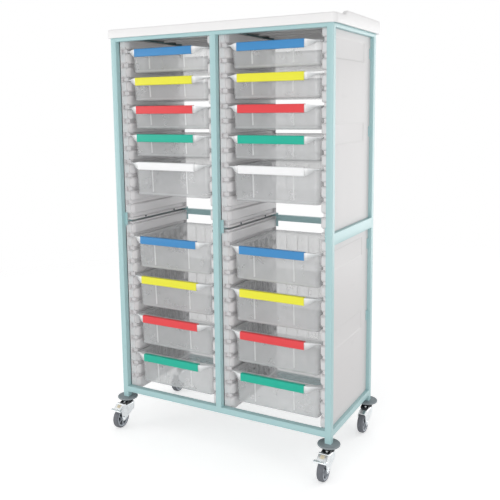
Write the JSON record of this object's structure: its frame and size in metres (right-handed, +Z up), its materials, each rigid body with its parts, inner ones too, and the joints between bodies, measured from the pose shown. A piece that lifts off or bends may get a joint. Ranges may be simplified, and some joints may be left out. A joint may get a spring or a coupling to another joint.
{
  "type": "tray storage unit",
  "caption": "Tall classroom storage unit on castors: a square-tube frame with a lipped worktop and two columns of clear pull-out trays with coloured label clips.",
  "frame": {"origin": "on the floor under the centre of the unit's bounding box, castor wheels and bumpers included", "axes": "+X to the unit's right as seen from the front, +Y to the back, +Z up; the trays pull out along -Y"},
  "size_m": [0.9089, 0.5034, 1.5],
  "materials": {
    "frame_steel": "smooth pale blue-green powder coat",
    "worktop": "satin off-white moulding",
    "runner_panel": "satin light grey moulding",
    "side_panel": "satin off-white sheet",
    "bracket": "smooth pale blue-green powder coat",
    "bumper": "matt grey rubber",
    "castor_head": "black housing over a steel stem",
    "castor_fork": "bright zinc plate",
    "wheel": "grey rubber tread on a grey plastic hub",
    "brake_pedal": "bright zinc plate",
    "tray_plastic": "clear, slightly frosted polypropylene",
    "clip_blue": "smooth blue plastic",
    "clip_yellow": "smooth yellow plastic",
    "clip_red": "smooth red plastic",
    "clip_green": "smooth green plastic",
    "clip_white": "smooth white plastic"
  },
  "bodies": {
    "cabinet": {"left_side_frame": "frame_steel", "centre_side_frame": "frame_steel", "right_side_frame": "frame_steel", "cross_rails": "frame_steel", "worktop": "worktop", "left_outer_runners": "runner_panel", "left_inner_runners": "runner_panel", "right_inner_runners": "runner_panel", "right_outer_runners": "runner_panel", "side_panels": "side_panel", "panel_brackets": "bracket", "bumpers": "bumper", "castor_heads": "castor_head"},
    "left_drawer_1": {"left_tray_1": "tray_plastic", "left_clip_1": "clip_blue"},
    "left_drawer_2": {"left_tray_2": "tray_plastic", "left_clip_2": "clip_yellow"},
    "left_drawer_3": {"left_tray_3": "tray_plastic", "left_clip_3": "clip_red"},
    "left_drawer_4": {"left_tray_4": "tray_plastic", "left_clip_4": "clip_green"},
    "left_drawer_5": {"left_tray_5": "tray_plastic", "left_clip_5": "clip_white"},
    "left_drawer_6": {"left_tray_6": "tray_plastic", "left_clip_6": "clip_blue"},
    "left_drawer_7": {"left_tray_7": "tray_plastic", "left_clip_7": "clip_yellow"},
    "left_drawer_8": {"left_tray_8": "tray_plastic", "left_clip_8": "clip_red"},
    "left_drawer_9": {"left_tray_9": "tray_plastic", "left_clip_9": "clip_green"},
    "right_drawer_1": {"right_tray_1": "tray_plastic", "right_clip_1": "clip_blue"},
    "right_drawer_2": {"right_tray_2": "tray_plastic", "right_clip_2": "clip_yellow"},
    "right_drawer_3": {"right_tray_3": "tray_plastic", "right_clip_3": "clip_red"},
    "right_drawer_4": {"right_tray_4": "tray_plastic", "right_clip_4": "clip_green"},
    "right_drawer_5": {"right_tray_5": "tray_plastic", "right_clip_5": "clip_white"},
    "right_drawer_6": {"right_tray_6": "tray_plastic", "right_clip_6": "clip_blue"},
    "right_drawer_7": {"right_tray_7": "tray_plastic", "right_clip_7": "clip_yellow"},
    "right_drawer_8": {"right_tray_8": "tray_plastic", "right_clip_8": "clip_red"},
    "right_drawer_9": {"right_tray_9": "tray_plastic", "right_clip_9": "clip_green"},
    "front_left_fork": {"front_left_fork": "castor_fork"},
    "front_left_wheel": {"front_left_wheel": "wheel"},
    "front_left_brake": {"front_left_brake": "brake_pedal"},
    "front_right_fork": {"front_right_fork": "castor_fork"},
    "front_right_wheel": {"front_right_wheel": "wheel"},
    "front_right_brake": {"front_right_brake": "brake_pedal"},
    "rear_left_fork": {"rear_left_fork": "castor_fork"},
    "rear_left_wheel": {"rear_left_wheel": "wheel"},
    "rear_right_fork": {"rear_right_fork": "castor_fork"},
    "rear_right_wheel": {"rear_right_wheel": "wheel"}
  },
  "joints": [
    {"name": "left_tray_slide_1", "type": "slide", "parent": "cabinet", "child": "left_drawer_1", "axis": [0, -1, 0], "range_m": [0, 0.3]},
    {"name": "left_tray_slide_2", "type": "slide", "parent": "cabinet", "child": "left_drawer_2", "axis": [0, -1, 0], "range_m": [0, 0.3]},
    {"name": "left_tray_slide_3", "type": "slide", "parent": "cabinet", "child": "left_drawer_3", "axis": [0, -1, 0], "range_m": [0, 0.3]},
    {"name": "left_tray_slide_4", "type": "slide", "parent": "cabinet", "child": "left_drawer_4", "axis": [0, -1, 0], "range_m": [0, 0.3]},
    {"name": "left_tray_slide_5", "type": "slide", "parent": "cabinet", "child": "left_drawer_5", "axis": [0, -1, 0], "range_m": [0, 0.3]},
    {"name": "left_tray_slide_6", "type": "slide", "parent": "cabinet", "child": "left_drawer_6", "axis": [0, -1, 0], "range_m": [0, 0.3]},
    {"name": "left_tray_slide_7", "type": "slide", "parent": "cabinet", "child": "left_drawer_7", "axis": [0, -1, 0], "range_m": [0, 0.3]},
    {"name": "left_tray_slide_8", "type": "slide", "parent": "cabinet", "child": "left_drawer_8", "axis": [0, -1, 0], "range_m": [0, 0.3]},
    {"name": "left_tray_slide_9", "type": "slide", "parent": "cabinet", "child": "left_drawer_9", "axis": [0, -1, 0], "range_m": [0, 0.3]},
    {"name": "right_tray_slide_1", "type": "slide", "parent": "cabinet", "child": "right_drawer_1", "axis": [0, -1, 0], "range_m": [0, 0.3]},
    {"name": "right_tray_slide_2", "type": "slide", "parent": "cabinet", "child": "right_drawer_2", "axis": [0, -1, 0], "range_m": [0, 0.3]},
    {"name": "right_tray_slide_3", "type": "slide", "parent": "cabinet", "child": "right_drawer_3", "axis": [0, -1, 0], "range_m": [0, 0.3]},
    {"name": "right_tray_slide_4", "type": "slide", "parent": "cabinet", "child": "right_drawer_4", "axis": [0, -1, 0], "range_m": [0, 0.3]},
    {"name": "right_tray_slide_5", "type": "slide", "parent": "cabinet", "child": "right_drawer_5", "axis": [0, -1, 0], "range_m": [0, 0.3]},
    {"name": "right_tray_slide_6", "type": "slide", "parent": "cabinet", "child": "right_drawer_6", "axis": [0, -1, 0], "range_m": [0, 0.3]},
    {"name": "right_tray_slide_7", "type": "slide", "parent": "cabinet", "child": "right_drawer_7", "axis": [0, -1, 0], "range_m": [0, 0.3]},
    {"name": "right_tray_slide_8", "type": "slide", "parent": "cabinet", "child": "right_drawer_8", "axis": [0, -1, 0], "range_m": [0, 0.3]},
    {"name": "right_tray_slide_9", "type": "slide", "parent": "cabinet", "child": "right_drawer_9", "axis": [0, -1, 0], "range_m": [0, 0.3]},
    {"name": "front_left_swivel", "type": "hinge", "parent": "cabinet", "child": "front_left_fork", "pos_m": [-0.4165, -0.16925, 0.0825], "axis": [0, 0, 1], "continuous": true},
    {"name": "front_left_roll", "type": "hinge", "parent": "front_left_fork", "child": "front_left_wheel", "pos_m": [-0.4165, -0.21425, 0.0375], "axis": [1, 0, 0], "continuous": true},
    {"name": "front_left_brake_press", "type": "hinge", "parent": "front_left_fork", "child": "front_left_brake", "pos_m": [-0.4165, -0.20525, 0.0782], "axis": [1, 0, 0], "range_deg": [0, 9]},
    {"name": "front_right_swivel", "type": "hinge", "parent": "cabinet", "child": "front_right_fork", "pos_m": [0.4165, -0.16925, 0.0825], "axis": [0, 0, 1], "continuous": true},
    {"name": "front_right_roll", "type": "hinge", "parent": "front_right_fork", "child": "front_right_wheel", "pos_m": [0.4165, -0.21425, 0.0375], "axis": [1, 0, 0], "continuous": true},
    {"name": "front_right_brake_press", "type": "hinge", "parent": "front_right_fork", "child": "front_right_brake", "pos_m": [0.4165, -0.20525, 0.0782], "axis": [1, 0, 0], "range_deg": [0, 9]},
    {"name": "rear_left_swivel", "type": "hinge", "parent": "cabinet", "child": "rear_left_fork", "pos_m": [-0.4165, 0.21375, 0.0825], "axis": [0, 0, 1], "continuous": true},
    {"name": "rear_left_roll", "type": "hinge", "parent": "rear_left_fork", "child": "rear_left_wheel", "pos_m": [-0.4165, 0.16875, 0.0375], "axis": [1, 0, 0], "continuous": true},
    {"name": "rear_right_swivel", "type": "hinge", "parent": "cabinet", "child": "rear_right_fork", "pos_m": [0.4165, 0.21375, 0.0825], "axis": [0, 0, 1], "continuous": true},
    {"name": "rear_right_roll", "type": "hinge", "parent": "rear_right_fork", "child": "rear_right_wheel", "pos_m": [0.4165, 0.16875, 0.0375], "axis": [1, 0, 0], "continuous": true}
  ]
}
